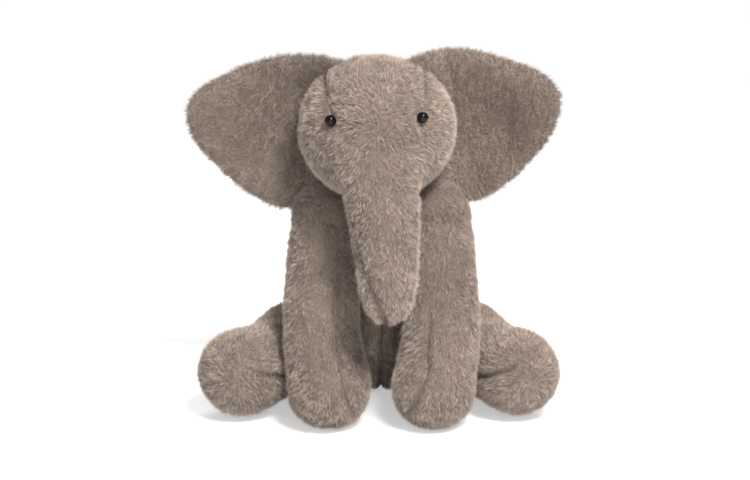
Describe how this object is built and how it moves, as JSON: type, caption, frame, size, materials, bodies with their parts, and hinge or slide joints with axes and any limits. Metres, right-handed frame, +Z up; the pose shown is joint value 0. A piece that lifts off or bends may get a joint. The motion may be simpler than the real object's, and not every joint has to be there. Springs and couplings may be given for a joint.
{
  "type": "sitting plush elephant",
  "caption": "Soft pile-fabric elephant sitting with spread hind legs, propped forelegs, hanging trunk and large dished ears; limbs, ears, trunk, head and tail move.",
  "frame": {"origin": "on the floor, in the middle of the flat of the seat", "axes": "+Z up; the elephant faces -Y; +X is the elephant's left"},
  "size_m": [0.3355, 0.281, 0.3272],
  "materials": {
    "pile_fabric": "short dense soft pile, matt with a slight sheen",
    "eye": "polished black",
    "washer": "moulded, natural",
    "filling": "white hollow polyester fibre",
    "bean_bag": "plain woven pouch of beans",
    "label": "satin ribbon, blank"
  },
  "bodies": {
    "torso": {"torso_panel_left": "pile_fabric", "torso_panel_right": "pile_fabric", "torso_stuffing": "filling", "seat_bean_bag": "bean_bag", "sewn_in_label": "label"},
    "neck": {"neck_stuffing": "filling"},
    "head": {"head_gusset": "pile_fabric", "face_panel_left": "pile_fabric", "face_panel_right": "pile_fabric", "head_stuffing": "filling", "eye_left": "eye", "eye_right": "eye", "eye_washer_left": "washer", "eye_washer_right": "washer"},
    "trunk_upper": {"trunk_upper_front_panel": "pile_fabric", "trunk_upper_under_panel": "pile_fabric", "trunk_upper_stuffing": "filling"},
    "trunk_tip": {"trunk_tip_front_panel": "pile_fabric", "trunk_tip_under_panel": "pile_fabric", "trunk_tip_stuffing": "filling"},
    "tail": {"tail_panel_left": "pile_fabric", "tail_panel_right": "pile_fabric", "tail_stuffing": "filling"},
    "ear_left": {"ear_front_left": "pile_fabric", "ear_back_left": "pile_fabric", "ear_wadding_left": "filling"},
    "foreleg_left": {"foreleg_outer_panel_left": "pile_fabric", "foreleg_inner_panel_left": "pile_fabric", "foreleg_stuffing_left": "filling", "forefoot_bean_bag_left": "bean_bag"},
    "hind_leg_left": {"hind_leg_upper_panel_left": "pile_fabric", "hind_leg_lower_panel_left": "pile_fabric", "hind_leg_stuffing_left": "filling", "hindfoot_bean_bag_left": "bean_bag"},
    "ear_right": {"ear_front_right": "pile_fabric", "ear_back_right": "pile_fabric", "ear_wadding_right": "filling"},
    "foreleg_right": {"foreleg_outer_panel_right": "pile_fabric", "foreleg_inner_panel_right": "pile_fabric", "foreleg_stuffing_right": "filling", "forefoot_bean_bag_right": "bean_bag"},
    "hind_leg_right": {"hind_leg_upper_panel_right": "pile_fabric", "hind_leg_lower_panel_right": "pile_fabric", "hind_leg_stuffing_right": "filling", "hindfoot_bean_bag_right": "bean_bag"}
  },
  "joints": [
    {"name": "neck_turn", "type": "hinge", "parent": "torso", "child": "neck", "pos_m": [-0.002, -0.044, 0.205], "axis": [0, 0, 1], "range_deg": [-15, 15]},
    {"name": "head_nod", "type": "hinge", "parent": "neck", "child": "head", "pos_m": [-0.002, -0.044, 0.205], "axis": [0.9994, 0, 0.0349], "range_deg": [-10, 8]},
    {"name": "trunk_lift", "type": "hinge", "parent": "head", "child": "trunk_upper", "pos_m": [-0.00273, -0.12, 0.22599], "axis": [-0.9994, 0, -0.0349], "range_deg": [-5, 28]},
    {"name": "trunk_curl", "type": "hinge", "parent": "trunk_upper", "child": "trunk_tip", "pos_m": [-0.00043, -0.153, 0.16003], "axis": [-0.9994, 0, -0.0349], "range_deg": [-10, 35]},
    {"name": "tail_swing", "type": "hinge", "parent": "torso", "child": "tail", "pos_m": [0, 0.066, 0.062], "axis": [0, 1, 0], "range_deg": [-30, 30]},
    {"name": "ear_flap_left", "type": "hinge", "parent": "head", "child": "ear_left", "pos_m": [0.05358, -0.06, 0.21795], "axis": [0.1741, 0.0537, -0.9833], "range_deg": [-15, 18]},
    {"name": "foreleg_swing_left", "type": "hinge", "parent": "torso", "child": "foreleg_left", "pos_m": [0.052, -0.066, 0.156], "axis": [-1, 0, 0], "range_deg": [0, 20]},
    {"name": "hind_leg_splay_left", "type": "hinge", "parent": "torso", "child": "hind_leg_left", "pos_m": [0.073, -0.022, 0.043], "axis": [0, 0, 1], "range_deg": [0, 20]},
    {"name": "ear_flap_right", "type": "hinge", "parent": "head", "child": "ear_right", "pos_m": [-0.05835, -0.06, 0.21404], "axis": [0.1051, -0.0537, 0.993], "range_deg": [-15, 18]},
    {"name": "foreleg_swing_right", "type": "hinge", "parent": "torso", "child": "foreleg_right", "pos_m": [-0.052, -0.066, 0.156], "axis": [-1, 0, 0], "range_deg": [0, 20]},
    {"name": "hind_leg_splay_right", "type": "hinge", "parent": "torso", "child": "hind_leg_right", "pos_m": [-0.073, -0.022, 0.043], "axis": [0, 0, -1], "range_deg": [0, 20]}
  ]
}
